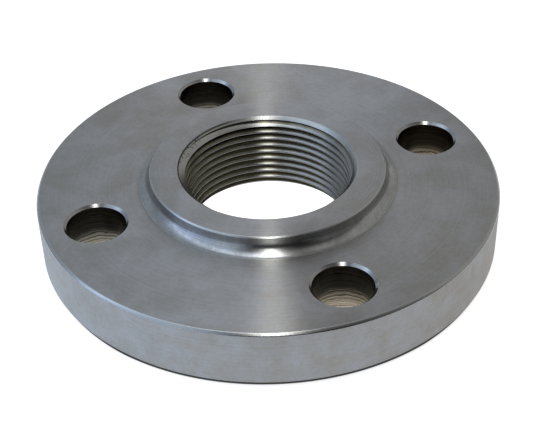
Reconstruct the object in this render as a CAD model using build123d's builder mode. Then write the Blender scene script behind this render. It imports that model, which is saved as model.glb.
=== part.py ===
from build123d import *
import os

# Threaded flange for a 1-1/2 inch pipe, one forging that is turned and drilled all over.
# Millimetres. The gasket face lies at z = 0 and the hub points up, with its axis on Z.

# The rim is the plate that the bolts clamp.
rim_diameter = 127.0
rim_thickness = 16.3
rim_edge_break = 0.65

# The raised gasket face stands below the rim.
gasket_face_diameter = 73.0
gasket_face_height = 1.6
gasket_face_edge_break = 0.3

# The hub stands above the rim, on a hollow radius that runs out into the rim's face.
hub_diameter = 65.0
hub_height = 4.8
hub_foot_radius = 3.8
hub_edge_break = 0.4

# The bore is the drilled hole that the 1-1/2 inch pipe thread is cut in.
bore_diameter = 43.7
bore_mouth_diameter = 49.3
bore_mouth_angle = 90.0
bore_gasket_side_break = 1.6

# The bolt holes take 1/2 inch bolts, and none of them lies on a centre line.
bolt_hole_count = 4
bolt_hole_diameter = 15.9
bolt_hole_edge_break = 0.7
land_outside_bolt_holes = 6.35

rim_top = gasket_face_height + rim_thickness
hub_top = rim_top + hub_height
bolt_circle_diameter = rim_diameter - bolt_hole_diameter - 2 * land_outside_bolt_holes

rim_corners = [(rim_diameter / 2, gasket_face_height), (rim_diameter / 2, rim_top)]
gasket_face_corner = (gasket_face_diameter / 2, 0)
hub_foot = (hub_diameter / 2, rim_top)
hub_corner = (hub_diameter / 2, hub_top)

with BuildPart() as flange:
    # Half of the section, from the axis outwards, turned once round the axis.
    with BuildSketch(Plane.XZ) as half_section:
        with BuildLine():
            Polyline(
                (0, 0),
                gasket_face_corner,
                (gasket_face_diameter / 2, gasket_face_height),
                *rim_corners,
                hub_foot,
                hub_corner,
                (0, hub_top),
                close=True,
            )
        make_face()
        fillet(half_section.vertices().sort_by_distance(hub_foot)[0], hub_foot_radius)
        chamfer(half_section.vertices().sort_by_distance(hub_corner)[0], hub_edge_break)
        chamfer(half_section.vertices().sort_by_distance(gasket_face_corner)[0], gasket_face_edge_break)
        for corner in rim_corners:
            chamfer(half_section.vertices().sort_by_distance(corner)[0], rim_edge_break)
    revolve(axis=Axis.Z)

    # The bore, with the wide mouth that leads the pipe in.
    with Locations((0, 0, hub_top)):
        CounterSinkHole(bore_diameter / 2, bore_mouth_diameter / 2, counter_sink_angle=bore_mouth_angle)
    with Locations(Plane.XY.rotated((180, 0, 0))):
        CounterSinkHole(bore_diameter / 2, bore_diameter / 2 + bore_gasket_side_break, counter_sink_angle=90)

    # The bolt holes, with a broken edge on both faces of the rim.
    bolt_hole_edge_radius = bolt_hole_diameter / 2 + bolt_hole_edge_break
    rim_faces = [Plane.XY.offset(rim_top), Plane.XY.offset(gasket_face_height).rotated((180, 0, 0))]
    for rim_face in rim_faces:
        with Locations(rim_face):
            with PolarLocations(bolt_circle_diameter / 2, bolt_hole_count, start_angle=180 / bolt_hole_count):
                CounterSinkHole(bolt_hole_diameter / 2, bolt_hole_edge_radius, counter_sink_angle=90)

flange.part.label = "flange"

os.makedirs("parts", exist_ok=True)
export_step(flange.part, "parts/flange.step")

print("flange volume", round(flange.part.volume / 1000, 1), "cm3")
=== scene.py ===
import math

import bmesh
import bpy
from mathutils import Matrix, Vector


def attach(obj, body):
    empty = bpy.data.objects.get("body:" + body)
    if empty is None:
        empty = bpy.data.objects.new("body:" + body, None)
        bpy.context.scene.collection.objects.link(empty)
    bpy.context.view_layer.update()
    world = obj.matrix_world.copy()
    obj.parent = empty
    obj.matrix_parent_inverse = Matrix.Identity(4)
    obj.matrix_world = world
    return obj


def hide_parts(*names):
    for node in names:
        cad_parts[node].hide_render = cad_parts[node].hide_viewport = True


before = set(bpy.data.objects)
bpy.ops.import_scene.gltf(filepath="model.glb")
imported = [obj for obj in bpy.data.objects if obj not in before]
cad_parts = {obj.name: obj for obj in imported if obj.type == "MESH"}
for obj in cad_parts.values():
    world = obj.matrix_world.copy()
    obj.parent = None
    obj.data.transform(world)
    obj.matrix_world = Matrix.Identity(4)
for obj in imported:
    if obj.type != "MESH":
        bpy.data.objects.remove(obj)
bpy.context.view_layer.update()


# The turned blank of the flange.
# One stainless steel forging, turned all over in a lathe: rim, raised gasket face, low hub and tapered bore.
# The tool leaves fine rings round the axis, and every corner is broken so that it doesn't cut a hand.
mm = 0.001
rim_radius = 63.5 * mm
rim_bottom = 1.6 * mm
rim_top = 17.9 * mm
rim_edge_break = 0.65 * mm
gasket_face_radius = 36.5 * mm
gasket_face_edge_break = 0.3 * mm
hub_radius = 32.5 * mm
hub_top = 22.7 * mm
hub_foot_radius = 3.8 * mm
hub_edge_break = 0.4 * mm
bore_mouth_radius = 24.65 * mm
gasket_side_break = 1.87 * mm
# Every corner that a break leaves is slightly rounded. Handling has worn the rim's top edge rounder.
edge_rounding = 0.06 * mm
gasket_side_rounding = edge_rounding / 2
rim_wall_rounding = 4.2 * edge_rounding
rim_face_rounding = 2.5 * edge_rounding

# The pipe thread gets wider towards the hub, 1 mm in radius for each 32 mm along the bore.
bore_taper = 1 / 32
crest_radius_at_hub_top = 22.5 * mm


def crest_radius(height):
    return crest_radius_at_hub_top - (hub_top - height) * bore_taper


def arc(centre, radius, start, end, steps):
    """Points (radius, height) on an arc of the section, from the start angle to the end angle in degrees."""
    turns = [math.radians(start + (end - start) * step / steps) for step in range(steps + 1)]
    return [(centre[0] + radius * math.cos(a), centre[1] + radius * math.sin(a)) for a in turns]


def eased(before, corner, after, rounding, steps=3):
    """The corner of the section, rounded off so that it has no knife edge."""
    corner, before, after = Vector(corner), Vector(before), Vector(after)
    start = corner + (before - corner).normalized() * rounding
    end = corner + (after - corner).normalized() * rounding
    points = []
    for step in range(steps + 1):
        t = step / steps
        points.append(tuple(start * (1 - t) ** 2 + corner * 2 * t * (1 - t) + end * t ** 2))
    return points


def broken_edge(before, corner, after, size, rounding=edge_rounding, last_rounding=edge_rounding):
    """A corner of the section with a flat break across it, whose own two corners are slightly rounded."""
    corner, before, after = Vector(corner), Vector(before), Vector(after)
    first = corner + (before - corner).normalized() * size
    last = corner + (after - corner).normalized() * size
    return eased(before, first, last, rounding) + eased(first, last, after, last_rounding)


gasket_face_corner = (gasket_face_radius, 0)
gasket_face_root = (gasket_face_radius, rim_bottom)
rim_bottom_corner = (rim_radius, rim_bottom)
rim_top_corner = (rim_radius, rim_top)
hub_foot = (hub_radius, rim_top)
hub_corner = (hub_radius, hub_top)
mouth_corner = (bore_mouth_radius, hub_top)
# Where the mouth's 45 degree cone runs into the tapered bore.
mouth_depth = (bore_mouth_radius - crest_radius_at_hub_top) / (1 - bore_taper)
mouth_end = (bore_mouth_radius - mouth_depth, hub_top - mouth_depth)
break_end = (crest_radius(gasket_side_break), gasket_side_break)
break_start = (break_end[0] + gasket_side_break, 0)

# The gasket face has the usual fine grooves that grip a gasket, up to a plain band at its edge.
serration_pitch = 0.8 * mm
serration_depth = 0.06 * mm
plain_band = 1.5 * serration_pitch
serrations = []
groove_radius = break_start[0] + serration_pitch
while groove_radius < gasket_face_radius - plain_band:
    serrations += [(groove_radius, 0), (groove_radius + serration_pitch / 2, serration_depth)]
    groove_radius += serration_pitch
serrations.append((groove_radius, 0))

# The foot is a quarter of a circle, which starts at its lowest point. The face's own finish carries on up its
# first few degrees, and a ring of points just outside it keeps the face flat. Its angles are in degrees.
foot_centre = (hub_radius + hub_foot_radius, rim_top + hub_foot_radius)
foot_start, foot_finish_start, foot_end = 270, 255, 180
flat_to_foot = 0.25 * mm

# The section is a closed line. Each of its points is kept with the finish of what runs from it to the next.
section = []


def run(points, along, after):
    """Add points to the section, with the finish along them and the finish of the face after the last."""
    section.extend([(along, point) for point in points[:-1]] + [(after, points[-1])])


run(eased(break_end, break_start, gasket_face_corner, gasket_side_rounding), "broken edge", "gasket face")
run(serrations, "gasket face", "gasket face")
run(broken_edge(break_start, gasket_face_corner, gasket_face_root, gasket_face_edge_break),
    "broken edge", "rim wall")
run([gasket_face_root], "rim wall", "facing")
run(broken_edge(gasket_face_root, rim_bottom_corner, rim_top_corner, rim_edge_break),
    "broken edge", "rim wall")
rim_top_edge = broken_edge(rim_bottom_corner, rim_top_corner, hub_foot, rim_edge_break,
                           rim_wall_rounding, rim_face_rounding)
run(rim_top_edge[:1], "rim wall", "rim wall")
run(rim_top_edge[1:], "broken edge", "facing")
run([(foot_centre[0] + flat_to_foot, rim_top)], "facing", "facing")
run(arc(foot_centre, hub_foot_radius, foot_start, foot_finish_start, steps=5), "facing", "hub foot")
run(arc(foot_centre, hub_foot_radius, foot_finish_start, foot_end, steps=23)[1:], "hub foot", "hub foot")
run(broken_edge(hub_foot, hub_corner, mouth_corner, hub_edge_break), "broken edge", "facing")
run(eased(hub_corner, mouth_corner, mouth_end, edge_rounding), "mouth", "mouth")
run([mouth_end, break_end], "bore", "bore")

# The section is turned once round the Z axis, in this many steps.
segments = 288
shape = bmesh.new()
rings = []
for _, (radius, height) in section:
    ring = []
    for step in range(segments):
        angle = 2 * math.pi * step / segments
        ring.append(shape.verts.new((radius * math.cos(angle), radius * math.sin(angle), height)))
    rings.append(ring)
for ring, following in zip(rings, rings[1:] + rings[:1]):
    for step in range(segments):
        ahead = (step + 1) % segments
        shape.faces.new((ring[step], ring[ahead], following[ahead], following[step]))
bmesh.ops.recalc_face_normals(shape, faces=shape.faces)
flange_mesh = bpy.data.meshes.new("flange_blank")
shape.to_mesh(flange_mesh)
shape.free()
flange = bpy.data.objects.new("machined_flange", flange_mesh)
bpy.context.scene.collection.objects.link(flange)


def linear(hex_colour):
    """An sRGB hex colour as Blender's linear red, green, blue and alpha."""
    channels = [int(hex_colour[i:i + 2], 16) / 255 for i in (1, 3, 5)]
    return [c / 12.92 if c <= 0.04045 else ((c + 0.055) / 1.055) ** 2.4 for c in channels] + [1]


def feed(tree, node, inputs):
    """Give a node's inputs, by name or number, a value, an output to link in, or a node's first output."""
    for socket, value in inputs.items():
        if isinstance(value, bpy.types.Node):
            value = value.outputs[0]
        if isinstance(value, bpy.types.NodeSocket):
            tree.links.new(value, node.inputs[socket])
        else:
            node.inputs[socket].default_value = value


# A Map Range node takes its value on input 0, the range that it comes from on 1 and 2, and the range that it
# goes to on 3 and 4. A colour Mix node takes its two colours on inputs 6 and 7, and gives output 2.
def add(tree, kind, inputs=None, **settings):
    """Add a node to the tree, with its own settings, and feed its inputs."""
    made = tree.nodes.new(kind)
    for name, value in settings.items():
        setattr(made, name, value)
    feed(tree, made, inputs or {})
    return made


def new_material(name):
    """A new material, with its node tree and its shader."""
    material = bpy.data.materials.new(name)
    material.use_nodes = True
    return material, material.node_tree, material.node_tree.nodes["Principled BSDF"]


def cells(size_mm):
    """Noise scale, per metre, at which one cell of the pattern is this many millimetres across."""
    return 1000 / size_mm


def distance_from_axis(tree, place):
    """How far a place lies from the Z axis."""
    flat = add(tree, "ShaderNodeVectorMath", {0: place, 1: (1, 1, 0)}, operation="MULTIPLY")
    return add(tree, "ShaderNodeVectorMath", {0: flat}, operation="LENGTH").outputs["Value"]


def ring_grain(tree, strength):
    """The shader's inputs for fine rings round the Z axis, which stretch the shine across them."""
    tangent = add(tree, "ShaderNodeTangent", direction_type="RADIAL", axis="Z")
    quarter_turn = 0.25
    return {"Anisotropic": strength, "Anisotropic Rotation": quarter_turn, "Tangent": tangent}


def turned_steel(name, pale, dark, roughness, grain, cloud_mm, ring_mm):
    """Turned stainless steel, satin. The tool's rings run round the axis, so its shine spreads across them
    in a soft streak, and handling leaves it slightly cloudy. The grain is how far the shine spreads, the
    clouds are cloud_mm across, and the rings are ring_mm deep."""
    steel, tree, shader = new_material(name)
    place = add(tree, "ShaderNodeTexCoord").outputs["Object"]
    height = add(tree, "ShaderNodeSeparateXYZ", {0: place}).outputs["Z"]
    # The tool's path over the face and down the wall, so rings cross both.
    path = add(tree, "ShaderNodeMath", {0: distance_from_axis(tree, place), 1: height}, operation="SUBTRACT")
    # A real feed mark is about 0.1 mm wide; these are drawn coarser so that they show.
    rings = add(tree, "ShaderNodeTexNoise", {"W": path, "Scale": cells(0.5), "Detail": 2.0, "Roughness": 0.6},
                noise_dimensions="1D")
    clouds = add(tree, "ShaderNodeTexNoise", {"Vector": place, "Scale": cells(cloud_mm), "Detail": 5.0,
                                              "Roughness": 0.62, "Distortion": 0.4})
    # Fine mottle from handling, about a millimetre across.
    mottle = add(tree, "ShaderNodeTexNoise", {"Vector": place, "Scale": cells(1.1), "Detail": 3.0,
                                              "Roughness": 0.7})
    tone = clouds
    for pattern, strength in ((rings, 0.45), (mottle, 0.6)):
        centred = add(tree, "ShaderNodeMath", {0: pattern, 1: strength, 2: -strength / 2},
                      operation="MULTIPLY_ADD")
        tone = add(tree, "ShaderNodeMath", {0: tone, 1: centred}, operation="ADD")
    # A noise keeps mostly between these two, so the whole range of the tone and the roughness shows.
    usual_least, usual_most = 0.3, 0.7
    tone = add(tree, "ShaderNodeMapRange", {0: tone, 1: usual_least, 2: usual_most})
    colour = add(tree, "ShaderNodeMix", {0: tone, 6: linear(dark), 7: linear(pale)},
                 data_type="RGBA").outputs[2]
    # Small dark specks, the start of pits, where the mottle is strongest.
    specks = add(tree, "ShaderNodeMapRange", {0: mottle, 1: 0.70, 2: 0.78, 3: 1.0, 4: 0.62})
    colour = add(tree, "ShaderNodeVectorMath", {0: colour, "Scale": specks}, operation="SCALE")
    cloudy = add(tree, "ShaderNodeMapRange", {0: clouds, 1: usual_least, 2: usual_most,
                                              3: roughness + 0.02, 4: roughness - 0.02})
    grooves = add(tree, "ShaderNodeBump", {"Strength": 1.0, "Distance": ring_mm * mm, "Height": rings})
    feed(tree, shader, {"Base Color": colour, "Metallic": 1.0, "Roughness": cloudy, "Normal": grooves,
                        **ring_grain(tree, grain)})
    return steel


finishes = {
    # The faces are turned across, so their shine spreads furthest, in one streak towards the light.
    "facing": turned_steel("turned_stainless_face", "#B1B2B3", "#A4A19C",
                           roughness=0.3, grain=1.0, cloud_mm=10, ring_mm=0.002),
    # The rim's wall is duller, and has a faint blue and brown mottle.
    "rim wall": turned_steel("turned_stainless_rim", "#B2B5BA", "#A8A49E",
                             roughness=0.42, grain=0.4, cloud_mm=7, ring_mm=0.001),
    # A round-nosed tool leaves the foot, the edges and the mouth smoother and brighter than the faces.
    "hub foot": turned_steel("turned_stainless_foot", "#C8C9CA", "#A8A8A8",
                             roughness=0.24, grain=0.6, cloud_mm=6, ring_mm=0.001),
    "broken edge": turned_steel("broken_stainless_edge", "#CACACA", "#C0C0C0",
                                roughness=0.23, grain=0.0, cloud_mm=6, ring_mm=0.0),
    "mouth": turned_steel("turned_stainless_mouth", "#C4C4C3", "#B4B4B2",
                          roughness=0.27, grain=0.0, cloud_mm=5, ring_mm=0.0),
    # The fine grooves make the gasket face look matt.
    "gasket face": turned_steel("serrated_stainless_face", "#A3A3A3", "#949494",
                                roughness=0.38, grain=0.6, cloud_mm=10, ring_mm=0.002),
    # What the tap leaves of the bored wall, on the thread's crests, is brown with old oil.
    "bore": turned_steel("bored_stainless", "#96958F", "#7C7972",
                         roughness=0.3, grain=0.3, cloud_mm=6, ring_mm=0.001),
}


def towards(side):
    """The direction of one side of the flange, which is in degrees round from +X."""
    return (math.cos(math.radians(side)), math.sin(math.radians(side)), 0)


# Dirt has caught along the left of the mouth's outer edge, and the first cut of the thread has left burrs
# there. On the right, painted shade darkens the corner where the mouth runs into the thread.
mouth = finishes["mouth"].node_tree
mouth_shader = mouth.nodes["Principled BSDF"]
mouth_colour = mouth_shader.inputs["Base Color"].links[0].from_socket
place = add(mouth, "ShaderNodeTexCoord").outputs["Object"]
radius = distance_from_axis(mouth, place)
edge_dirt = add(mouth, "ShaderNodeMapRange", {0: radius, 1: bore_mouth_radius - 0.45 * mm,
                                              2: bore_mouth_radius - 0.3 * mm})
corner_shade = add(mouth, "ShaderNodeMapRange", {0: radius, 1: mouth_end[0] + 0.7 * mm,
                                                2: mouth_end[0] + 1.9 * mm, 3: 1.0, 4: 0.0})
burrs = add(mouth, "ShaderNodeTexNoise", {"Vector": place, "Scale": cells(0.6), "Detail": 1.0})
burrs = add(mouth, "ShaderNodeMapRange", {0: burrs, 1: 0.55, 2: 0.62})
# Each row has the side of the bore that the dirt, the burrs or the painted shade lie on, how many millimetres
# out towards that side they start and are full, and how dark they are.
for dirt_and_shade, side, (starts, full), darkness in ((edge_dirt, 200, (7, 14), 0.75),
                                             (burrs, 182, (22.6, 23.6), 0.8),
                                             (corner_shade, 0, (15, 21), 0.85)):
    there = add(mouth, "ShaderNodeVectorMath", {0: place, 1: towards(side)},
                operation="DOT_PRODUCT").outputs["Value"]
    there = add(mouth, "ShaderNodeMapRange", {0: there, 1: starts * mm, 2: full * mm, 4: darkness})
    dirt_and_shade = add(mouth, "ShaderNodeMath", {0: dirt_and_shade, 1: there}, operation="MULTIPLY")
    clean = add(mouth, "ShaderNodeMath", {0: 1.0, 1: dirt_and_shade}, operation="SUBTRACT")
    mouth_colour = add(mouth, "ShaderNodeVectorMath", {0: mouth_colour, "Scale": clean}, operation="SCALE")
feed(mouth, mouth_shader, {"Base Color": mouth_colour})

finish_order = list(finishes)
for finish in finish_order:
    flange_mesh.materials.append(finishes[finish])
# The faces were made ring by ring, in the section's order.
for face in flange_mesh.polygons:
    finish, _ = section[face.index // segments]
    face.material_index = finish_order.index(finish)


# The thread and the bolt holes, cut in the blank.
# A tap cuts 11.5 threads to the inch down the bore, right-handed, on a slow taper. A drill cuts the four bolt
# holes, and both ends of each are countersunk a little. Their walls are rougher and hold oil and dirt, and
# they are darkened with painted shade deep in the thread's groove and on the upper part of the holes' walls.
thread_pitch = 25.4 / 11.5 * mm
thread_crest_flat = 0.08 * mm
thread_crest_rounding = 0.22 * mm
thread_root_flat = 0.04 * mm
thread_angle = math.radians(60)
# The groove's cutter stands out of the bore's wall by this much.
thread_overrun = 0.12 * mm
# A crest stands at this height on the side of the bore that lies 113.5 degrees round from +X.
crest_height = 20.61 * mm
crest_direction = math.radians(113.5)
bolt_circle_radius = 49.2 * mm
bolt_hole_radius = 7.95 * mm
bolt_hole_count = 4
bolt_hole_edge_break = 0.7 * mm


def tapped_steel(name):
    """Tapped stainless steel: bright on the flanks and crests, darker deep in the groove with brown oil and
    dirt and with painted shade.
    """
    steel, tree, shader = new_material(name)
    place = add(tree, "ShaderNodeTexCoord").outputs["Object"]
    height = add(tree, "ShaderNodeSeparateXYZ", {0: place}).outputs["Z"]
    # Depth into the groove, from the crest of the tapered thread.
    below_hub_top = add(tree, "ShaderNodeMath", {0: hub_top, 1: height}, operation="SUBTRACT")
    crest = add(tree, "ShaderNodeMath", {0: below_hub_top, 1: -bore_taper, 2: crest_radius_at_hub_top},
                operation="MULTIPLY_ADD")
    depth = add(tree, "ShaderNodeMath", {0: distance_from_axis(tree, place), 1: crest}, operation="SUBTRACT")
    # The oil lies unevenly, in patches about 3 mm across, and the groove is made darker towards one side of
    # the bore.
    # Where there is more oil the groove counts as this much deeper, and it counts as deeper for each mm out
    # towards that side.
    deeper_in_patch = 0.9 * mm
    deeper_per_mm_out = 0.02
    darker_side = 203.5
    patches = add(tree, "ShaderNodeTexNoise", {"Vector": place, "Scale": cells(3), "Detail": 4.0,
                                               "Roughness": 0.6})
    depth = add(tree, "ShaderNodeMath", {0: patches, 1: deeper_in_patch, 2: depth}, operation="MULTIPLY_ADD")
    out = add(tree, "ShaderNodeVectorMath", {0: place, 1: towards(darker_side)},
              operation="DOT_PRODUCT").outputs["Value"]
    depth = add(tree, "ShaderNodeMath", {0: out, 1: deeper_per_mm_out, 2: depth}, operation="MULTIPLY_ADD")
    # A film of oil down the flank, and caked dirt in the root; both also stand in as painted shade for the
    # groove's deep parts.
    oil_and_shade = add(tree, "ShaderNodeMapRange", {0: depth, 1: 0.6 * mm, 2: 1.15 * mm})
    caked_dirt_and_shade = add(tree, "ShaderNodeMapRange", {0: depth, 1: 1.25 * mm, 2: 1.7 * mm})
    colour = add(tree, "ShaderNodeMix", {0: oil_and_shade, 6: linear("#A6A5A3"), 7: linear("#787461")},
                 data_type="RGBA").outputs[2]
    # In the first turns from the hub the root is nearly black, with dirt and with painted shade.
    further_in = add(tree, "ShaderNodeMapRange", {0: below_hub_top, 1: 5 * mm, 2: 8 * mm})
    dirt_and_shade = add(tree, "ShaderNodeMix", {0: further_in, 6: linear("#1A1712"), 7: linear("#706856")},
               data_type="RGBA").outputs[2]
    colour = add(tree, "ShaderNodeMix", {0: caked_dirt_and_shade, 6: colour, 7: dirt_and_shade}, data_type="RGBA").outputs[2]
    # Caked dirt hides most of the metal's shine.
    bare = add(tree, "ShaderNodeMapRange", {0: caked_dirt_and_shade, 3: 1.0, 4: 0.3})
    feed(tree, shader, {"Base Color": colour, "Metallic": bare, "Roughness": 0.26, **ring_grain(tree, 0.8)})
    return steel


def drilled_steel(name):
    """Drilled stainless steel: rings round each hole from the drill, a brown bloom of old cutting oil, and
    painted shade on the upper part of the wall.
    """
    steel, tree, shader = new_material(name)
    place = add(tree, "ShaderNodeTexCoord").outputs["Object"]
    height = add(tree, "ShaderNodeSeparateXYZ", {0: place}).outputs["Z"]
    clouds = add(tree, "ShaderNodeTexNoise", {"Vector": place, "Scale": cells(4), "Detail": 4.0,
                                              "Roughness": 0.6})
    # The drill's rings wander a little in height round the hole.
    height = add(tree, "ShaderNodeMath", {0: clouds, 1: 2.2 * mm, 2: height}, operation="MULTIPLY_ADD")
    # A real ring is about 0.2 mm wide; these are drawn coarser so that they show.
    rings = add(tree, "ShaderNodeTexNoise", {"W": height, "Scale": cells(0.6), "Detail": 3.0,
                                             "Roughness": 0.8}, noise_dimensions="1D")
    tone = add(tree, "ShaderNodeMapRange", {0: rings, 1: 0.32, 2: 0.6})
    colour = add(tree, "ShaderNodeMix", {0: tone, 6: linear("#625846"), 7: linear("#ECE0C8")},
                 data_type="RGBA").outputs[2]
    # Painted shade: the upper part of the wall is darkened, where it mirrors the dark inside of the hole.
    painted_upper_shade = add(tree, "ShaderNodeMapRange", {0: height, 1: 5.2 * mm, 2: 11.3 * mm, 3: 1.0, 4: 0.05})
    colour = add(tree, "ShaderNodeVectorMath", {0: colour, "Scale": painted_upper_shade}, operation="SCALE")
    grooves = add(tree, "ShaderNodeBump", {"Strength": 1.0, "Distance": 0.02 * mm, "Height": rings})
    feed(tree, shader, {"Base Color": colour, "Metallic": 1.0, "Roughness": 0.25, "Normal": grooves})
    return steel


finishes["thread"] = tapped_steel("tapped_stainless_thread")
finishes["bolt holes"] = drilled_steel("drilled_stainless_wall")
# A countersink cuts the holes' edges clean and bright.
finishes["countersinks"] = turned_steel("countersunk_stainless", "#BEBEBE", "#B0B0B0",
                                        roughness=0.2, grain=0.0, cloud_mm=5, ring_mm=0.0)

# The groove starts below the gasket face and ends above the hub, so that it cuts right through.
thread_turns = 13
helix_bottom = -2 * mm
helix_top = helix_bottom + thread_turns * thread_pitch
# Half of the groove's profile, as pairs of a depth below the crest and a distance from the groove's middle.
# It starts above the crest, and runs over the crest's rounding and down the flank to the root.
groove_half = (thread_pitch - thread_crest_flat) / 2
groove_corners = [(-thread_overrun, groove_half)]
for degrees in (0, 30, 60):
    turned_by = math.radians(degrees)
    groove_corners.append((thread_crest_rounding * (1 - math.cos(turned_by)),
                           groove_half - thread_crest_rounding * math.sin(turned_by)))
flank_start, flank_half = groove_corners[-1]
thread_depth = flank_start + (flank_half - thread_root_flat / 2) / math.tan(thread_angle / 2)
groove_corners.append((thread_depth, thread_root_flat / 2))
# The groove lies half a pitch below the crest, and its helix starts this far round from +X.
groove_height = crest_height - thread_pitch / 2
groove_turn = crest_direction + (helix_bottom - groove_height) / thread_pitch * 2 * math.pi

machining = bpy.data.node_groups.new("tap_and_drill", "GeometryNodeTree")
machining.interface.new_socket(name="Geometry", in_out="OUTPUT", socket_type="NodeSocketGeometry")
machining.interface.new_socket(name="Geometry", in_out="INPUT", socket_type="NodeSocketGeometry")
sizes = {
    "Thread turns": ("NodeSocketFloat", float(thread_turns)),
    "Thread height": ("NodeSocketFloat", thread_turns * thread_pitch),
    "Thread bottom": ("NodeSocketFloat", helix_bottom),
    "Thread start angle": ("NodeSocketFloat", groove_turn % (2 * math.pi)),
    "Crest radius at bottom": ("NodeSocketFloat", crest_radius(helix_bottom)),
    "Crest radius at top": ("NodeSocketFloat", crest_radius(helix_top)),
    "Bolt holes": ("NodeSocketInt", bolt_hole_count),
    "Bolt circle radius": ("NodeSocketFloat", bolt_circle_radius),
    "Bolt hole radius": ("NodeSocketFloat", bolt_hole_radius),
    "Bolt hole edge break": ("NodeSocketFloat", bolt_hole_edge_break),
    "Rim bottom": ("NodeSocketFloat", rim_bottom),
    "Rim top": ("NodeSocketFloat", rim_top),
}
corner_labels = ["Groove corner %d" % (i + 1) for i in range(len(groove_corners))]
for label, groove_corner in zip(corner_labels, groove_corners):
    sizes[label] = ("NodeSocketVector", (*groove_corner, 0.0))
identifiers = {}
for label, (kind, value) in sizes.items():
    socket = machining.interface.new_socket(name=label, in_out="INPUT", socket_type=kind)
    socket.default_value = value
    identifiers[label] = socket.identifier
size = add(machining, "NodeGroupInput").outputs

# The thread: the groove's profile swept along a tapered right-hand helix.
helix = add(machining, "GeometryNodeCurveSpiral",
            {"Resolution": segments, "Rotations": size["Thread turns"], "Height": size["Thread height"],
             "Start Radius": size["Crest radius at bottom"], "End Radius": size["Crest radius at top"],
             "Reverse": True})
helix = add(machining, "GeometryNodeSetCurveNormal", {"Curve": helix}, mode="Z_UP")
# The profile runs up one side of the groove and down the other. It starts as a circle of as many points.
profile_points = 2 * len(groove_corners)
profile = add(machining, "GeometryNodeCurvePrimitiveCircle", {"Resolution": profile_points}, mode="RADIUS")
corner = add(machining, "GeometryNodeIndexSwitch", data_type="VECTOR")
while len(corner.index_switch_items) < profile_points:
    corner.index_switch_items.new()
feed(machining, corner, {"Index": add(machining, "GeometryNodeInputIndex")})
for i, label in enumerate(reversed(corner_labels)):
    mirrored = add(machining, "ShaderNodeVectorMath", {0: size[label], 1: (1, -1, 1)}, operation="MULTIPLY")
    feed(machining, corner, {str(i): size[label], str(profile_points - 1 - i): mirrored})
profile = add(machining, "GeometryNodeSetPosition", {"Geometry": profile, "Position": corner})
tap = add(machining, "GeometryNodeCurveToMesh", {"Curve": helix, "Profile Curve": profile, "Fill Caps": True})
turn = add(machining, "ShaderNodeCombineXYZ", {"Z": size["Thread start angle"]})
lift = add(machining, "ShaderNodeCombineXYZ", {"Z": size["Thread bottom"]})
tap = add(machining, "GeometryNodeTransform", {"Geometry": tap, "Translation": lift, "Rotation": turn})
tap = add(machining, "GeometryNodeStoreNamedAttribute", {"Geometry": tap, "Name": "thread", "Value": True},
          data_type="BOOLEAN", domain="FACE")

# The bolt holes: a drill right through, and a 45 degree countersink from each side, on the bolt circle.
hole_sides = 96
drill_length = 50 * mm
sink_depth = 2 * mm
# The countersink starts this far out of the rim's face, so it is that much wider there.
sink_overrun = 0.5 * mm
drill = add(machining, "GeometryNodeMeshCylinder",
            {"Vertices": hole_sides, "Radius": size["Bolt hole radius"], "Depth": drill_length},
            fill_type="NGON")
drill = add(machining, "GeometryNodeStoreNamedAttribute",
            {"Geometry": drill, "Name": "bolt holes", "Value": True}, data_type="BOOLEAN", domain="FACE")
wide = add(machining, "ShaderNodeMath", {0: size["Bolt hole radius"], 1: size["Bolt hole edge break"]})
wide = add(machining, "ShaderNodeMath", {0: wide, 1: sink_overrun})
narrow = add(machining, "ShaderNodeMath", {0: wide, 1: sink_depth}, operation="SUBTRACT")
sink = add(machining, "GeometryNodeMeshCone",
           {"Vertices": hole_sides, "Radius Top": wide, "Radius Bottom": narrow, "Depth": sink_depth},
           fill_type="NGON")
sink = add(machining, "GeometryNodeStoreNamedAttribute",
           {"Geometry": sink, "Name": "countersinks", "Value": True}, data_type="BOOLEAN", domain="FACE")
upper_level = add(machining, "ShaderNodeMath", {0: size["Rim top"], 1: sink_overrun - sink_depth})
lower_level = add(machining, "ShaderNodeMath", {0: size["Rim bottom"], 1: sink_depth - sink_overrun})
upper_place = add(machining, "ShaderNodeCombineXYZ", {"Z": upper_level})
lower_place = add(machining, "ShaderNodeCombineXYZ", {"Z": lower_level})
upper_sink = add(machining, "GeometryNodeTransform", {"Geometry": sink, "Translation": upper_place})
lower_sink = add(machining, "GeometryNodeTransform", {"Geometry": sink, "Translation": lower_place,
                                                      "Rotation": (math.pi, 0, 0)})
bolt_circle = add(machining, "GeometryNodeMeshCircle",
                  {"Vertices": size["Bolt holes"], "Radius": size["Bolt circle radius"]}, fill_type="NONE")
half_a_space = math.radians(180 / bolt_hole_count)
bolt_circle = add(machining, "GeometryNodeTransform",
                  {"Geometry": bolt_circle, "Rotation": (0, 0, half_a_space)})
cut = add(machining, "GeometryNodeMeshBoolean", {"Mesh 1": size["Geometry"]},
          operation="DIFFERENCE", solver="MANIFOLD")
for cutter in (drill, upper_sink, lower_sink):
    placed = add(machining, "GeometryNodeInstanceOnPoints", {"Points": bolt_circle, "Instance": cutter})
    placed = add(machining, "GeometryNodeRealizeInstances", {"Geometry": placed})
    feed(machining, cut, {"Mesh 2": placed})
feed(machining, cut, {"Mesh 2": tap})
whole = add(machining, "GeometryNodeRealizeInstances", {"Geometry": cut})
# Each tool's own faces get its finish.
for tool in ("thread", "bolt holes", "countersinks"):
    its_own = add(machining, "GeometryNodeInputNamedAttribute", {"Name": tool}, data_type="BOOLEAN")
    whole = add(machining, "GeometryNodeSetMaterial", {"Geometry": whole, "Selection": its_own,
                                                       "Material": finishes[tool]})
add(machining, "NodeGroupOutput", {"Geometry": whole})

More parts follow.
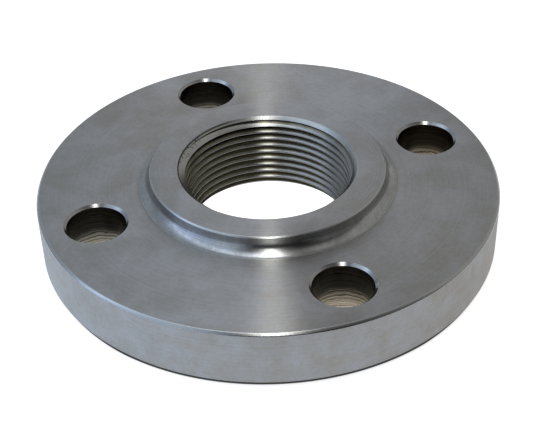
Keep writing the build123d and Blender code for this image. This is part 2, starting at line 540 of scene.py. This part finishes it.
cutting = flange.modifiers.new("tap_and_drill", "NODES")
cutting.node_group = machining
for label, (_, value) in sizes.items():
    cutting[identifiers[label]] = value
machined = flange.evaluated_get(bpy.context.evaluated_depsgraph_get())
flange_mesh = bpy.data.meshes.new_from_object(machined)
flange.modifiers.remove(cutting)
flange.data = flange_mesh

# Points that the cuts left closer than this are merged. A corner sharper than this angle shows as an edge.
merge_distance = 0.0005 * mm
sharp_angle = math.radians(34)
shape = bmesh.new()
shape.from_mesh(flange_mesh)
bmesh.ops.remove_doubles(shape, verts=shape.verts, dist=merge_distance)
shape.to_mesh(flange_mesh)
shape.free()
flange_mesh.shade_smooth()
flange_mesh.set_sharp_from_angle(angle=sharp_angle)

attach(flange, "root")
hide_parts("flange")


# The camera stands where the photo was taken from, above the flange and a third of a metre away.
# It looks at a point at the height of the rim's bottom, a little beside the axis, and leans slightly.
view_azimuth = math.radians(23.525)
view_elevation = math.radians(37.399)
view_roll = math.radians(-1.654)
view_distance = 355.94 * mm
aim_aside = (-0.27 * mm, -1.51 * mm)

around = Matrix.Rotation(view_azimuth, 3, "Z")
right = around @ Vector((1, 0, 0))
up = around @ Vector((0, math.sin(view_elevation), math.cos(view_elevation)))
back = around @ Vector((0, -math.cos(view_elevation), math.sin(view_elevation)))
rolled_right = math.cos(view_roll) * right + math.sin(view_roll) * up
rolled_up = math.cos(view_roll) * up - math.sin(view_roll) * right
camera = bpy.data.objects.new("camera", bpy.data.cameras.new("camera"))
bpy.context.scene.collection.objects.link(camera)
camera.data.sensor_width = 36
camera.data.lens = 83.492
camera.data.clip_start = 10 * mm
aim = Vector((0, 0, rim_bottom)) - aim_aside[0] * rolled_right - aim_aside[1] * rolled_up
eye = aim + view_distance * back
camera.matrix_world = Matrix.Translation(eye) @ Matrix((rolled_right, rolled_up, back)).transposed().to_4x4()
bpy.context.scene.camera = camera


# The floor is a plain round sheet of pale paper, wider than the picture.
# It glows a little where the camera or the steel sees it, so it shows as white and the steel mirrors it, and
# it keeps the soft shadow under the rim, darkened by a painted shadow in the gap under it.
floor_radius = 220 * mm
floor_sides = 96
glow_to_camera = 0.75
glow_in_steel = 0.4
glow_left_in_gap = 0.05
glow_under_bore = 0.6

floor_turns = [2 * math.pi * step / floor_sides for step in range(floor_sides)]
floor_mesh = bpy.data.meshes.new("floor")
floor_mesh.from_pydata([(floor_radius * math.cos(a), floor_radius * math.sin(a), 0) for a in floor_turns],
                       [], [range(floor_sides)])
floor = bpy.data.objects.new("floor", floor_mesh)
bpy.context.scene.collection.objects.link(floor)
paper, sheet, paper_shader = new_material("white_paper_floor")
# From below, the sheet can be seen through.
from_below = add(sheet, "ShaderNodeNewGeometry").outputs["Backfacing"]
solid = add(sheet, "ShaderNodeMath", {0: 1.0, 1: from_below}, operation="SUBTRACT")
seen_by = add(sheet, "ShaderNodeLightPath").outputs
looked_at = add(sheet, "ShaderNodeMath", {0: seen_by["Is Camera Ray"], 1: seen_by["Is Transmission Ray"]},
                operation="MAXIMUM")
looked_at = add(sheet, "ShaderNodeMath", {0: looked_at, 1: glow_to_camera}, operation="MULTIPLY")
glow = add(sheet, "ShaderNodeMath", {0: seen_by["Is Glossy Ray"], 1: glow_in_steel, 2: looked_at},
           operation="MULTIPLY_ADD")
# The gap under the rim stays dark with a painted shadow: a ring of floor just inside the rim's lower edge
# hardly glows, and its colour is painted nearly black. Each edge of the ring fades between two radii.
spot = add(sheet, "ShaderNodeTexCoord").outputs["Object"]
out = add(sheet, "ShaderNodeVectorMath", {0: spot}, operation="LENGTH").outputs["Value"]
inside = add(sheet, "ShaderNodeMapRange", {0: out, 1: 57.2 * mm, 2: 57.6 * mm, 3: 1.0, 4: glow_left_in_gap})
outside = add(sheet, "ShaderNodeMapRange", {0: out, 1: 62.3 * mm, 2: 62.6 * mm})
open_floor = add(sheet, "ShaderNodeMath", {0: inside, 1: outside}, operation="MAXIMUM")
# In front the ring is half a millimetre narrower, because light gets a little further under the rim there.
# Its edge there is part of a circle round a point behind the axis.
ring_shift = 2.5 * mm
out_in_front = add(sheet, "ShaderNodeVectorMath", {0: spot, 1: around @ Vector((0, ring_shift, 0))},
                   operation="DISTANCE").outputs["Value"]
in_front = add(sheet, "ShaderNodeMapRange", {0: out_in_front, 1: 64.3 * mm, 2: 64.6 * mm})
open_floor = add(sheet, "ShaderNodeMath", {0: open_floor, 1: in_front}, operation="MAXIMUM")
# The paper's colour carries the painted shadow: it is darkened in the same ring under the rim.
white = add(sheet, "ShaderNodeVectorMath", {0: linear("#F4F4F4")[:3], "Scale": open_floor}, operation="SCALE")
# Under the bore, where little light gets in, it glows enough to stay white.
under_bore = add(sheet, "ShaderNodeMapRange", {0: out, 1: 24 * mm, 2: 30 * mm, 3: glow_under_bore, 4: 0.0})
open_floor = add(sheet, "ShaderNodeMath", {0: open_floor, 1: under_bore})
glow = add(sheet, "ShaderNodeMath", {0: glow, 1: open_floor}, operation="MULTIPLY")
# In the steel, the sheet looks bluish on the side of the window and warmer on the other.
sideways = add(sheet, "ShaderNodeVectorMath", {0: spot, 1: right}, operation="DOT_PRODUCT").outputs["Value"]
sideways = add(sheet, "ShaderNodeMapRange", {0: sideways, 1: -50 * mm, 2: 50 * mm})
tint = add(sheet, "ShaderNodeMix", {0: sideways, 6: linear("#E0EDFC"), 7: linear("#D8D2CA")},
           data_type="RGBA").outputs[2]
tint = add(sheet, "ShaderNodeMix", {0: seen_by["Is Glossy Ray"], 6: linear("#FFFFFF"), 7: tint},
           data_type="RGBA").outputs[2]
feed(sheet, paper_shader, {"Base Color": white, "Roughness": 0.9, "Specular IOR Level": 0.0, "Alpha": solid,
                           "Emission Color": tint, "Emission Strength": glow})
floor_mesh.materials.append(paper)


# The light is a room with a long strip lamp overhead, a tall cold window to the left and pale walls.
# A place in it is so many degrees to the left (negative) or right of the line ahead, and so many degrees up
# from the far horizon, over the top and down to the near one.
strip_centre = (0.8, 115)
strip_reach = (4.5, 33)
strip_distance = 3.0
strip_radiance = 3.6

strip_aside, strip_over = (math.radians(angle) for angle in strip_centre)
to_strip = around @ Vector((math.sin(strip_aside), math.cos(strip_aside) * math.cos(strip_over),
                            math.cos(strip_aside) * math.sin(strip_over)))
along_strip = around @ Vector((0, -math.sin(strip_over), math.cos(strip_over)))
across_strip = along_strip.cross(to_strip).normalized()
strip = bpy.data.lights.new("strip_overhead", "AREA")
strip.shape = "RECTANGLE"
strip.size, strip.size_y = (2 * strip_distance * math.tan(math.radians(angle)) for angle in strip_reach)
strip.energy = strip_radiance * strip.size * strip.size_y * math.pi
strip.color = linear("#FFFFFC")[:3]
strip_lamp = bpy.data.objects.new("strip_overhead", strip)
bpy.context.scene.collection.objects.link(strip_lamp)
strip_turn = Matrix((across_strip, to_strip.cross(across_strip), to_strip)).transposed().to_4x4()
strip_lamp.matrix_world = Matrix.Translation(strip_distance * to_strip) @ strip_turn
strip_lamp.visible_camera = False

world = bpy.data.worlds.new("studio_room")
bpy.context.scene.world = world
world.use_nodes = True
room = world.node_tree
direction = add(room, "ShaderNodeTexCoord").outputs["Generated"]
direction = add(room, "ShaderNodeMapping", {"Vector": direction, "Rotation": (0, 0, -view_azimuth)})
ways = add(room, "ShaderNodeSeparateXYZ", {0: direction}).outputs
aside = add(room, "ShaderNodeMath", {0: ways["X"]}, operation="ARCSINE")
aside = add(room, "ShaderNodeMath", {0: aside}, operation="DEGREES")
over = add(room, "ShaderNodeMath", {0: ways["Z"], 1: ways["Y"]}, operation="ARCTAN2")
over = add(room, "ShaderNodeMath", {0: over}, operation="DEGREES")

# The pale surfaces of the room: how far each reaches aside and over, its radiance and its colour. Each of its
# four sides is an angle with the width of its soft edge.
surfaces = (
    # The tall window on the left, from overhead to behind the camera.
    (((-100, 5), (-20, 16)), ((82, 45), (200, 20)), 0.68, "#DDEDFF"),
    # The ceiling left of the lamp, and its brighter part beside the lamp.
    (((-100, 5), (-3, 8)), ((84, 16), (110, 35)), 0.42, "#DDEDFF"),
    (((-22, 12), (-3, 6)), ((86, 12), (114, 30)), 0.9, "#E8F2FF"),
    # The ceiling round the lamp.
    (((-9, 8), (10.5, 8)), ((87, 50), (142, 50)), 0.3, "#FFFFFC"),
    # Blue sky, far to the left.
    (((-100, 5), (-50, 40)), ((60, 60), (200, 20)), 0.3, "#80B4FF"),
    # A white wall straight ahead, and greyer ones on the right and left.
    (((-9, 6), (11, 6)), ((-10, 5), (61, 60)), 0.72, "#F4F7FF"),
    (((15, 14), (100, 5)), ((-10, 5), (118, 50)), 0.35, "#FFFEF9"),
    (((-100, 5), (-5, 24)), ((-10, 5), (90, 60)), 0.4, "#E6F3FF"),
    # The near right of the room, which is dim.
    (((40, 30), (100, 5)), ((140, 30), (180, 12)), 0.18, "#FFFFFF"),
)
light = (0.0, 0.0, 0.0)
for sides, heights, radiance, colour in surfaces:
    shown = radiance
    for place, (first, last) in ((aside, sides), (over, heights)):
        for (edge, soft), (before, after) in ((first, (0.0, 1.0)), (last, (1.0, 0.0))):
            faded = add(room, "ShaderNodeMapRange", {0: place, 1: edge - soft / 2, 2: edge + soft / 2,
                                                     3: before, 4: after}, interpolation_type="SMOOTHSTEP")
            shown = add(room, "ShaderNodeMath", {0: faded, 1: shown}, operation="MULTIPLY")
    tinted = add(room, "ShaderNodeVectorMath", {0: linear(colour)[:3], "Scale": shown}, operation="SCALE")
    light = add(room, "ShaderNodeVectorMath", {0: light, 1: tinted}, operation="ADD")
# The camera sees the room as white.
seen = add(room, "ShaderNodeLightPath").outputs["Is Camera Ray"]
light = add(room, "ShaderNodeMix", {0: seen, 6: light, 7: linear("#FFFFFF")}, data_type="RGBA").outputs[2]
feed(room, room.nodes["Background"], {"Color": light})

bpy.context.scene.view_settings.view_transform = "Standard"

bpy.context.view_layer.update()
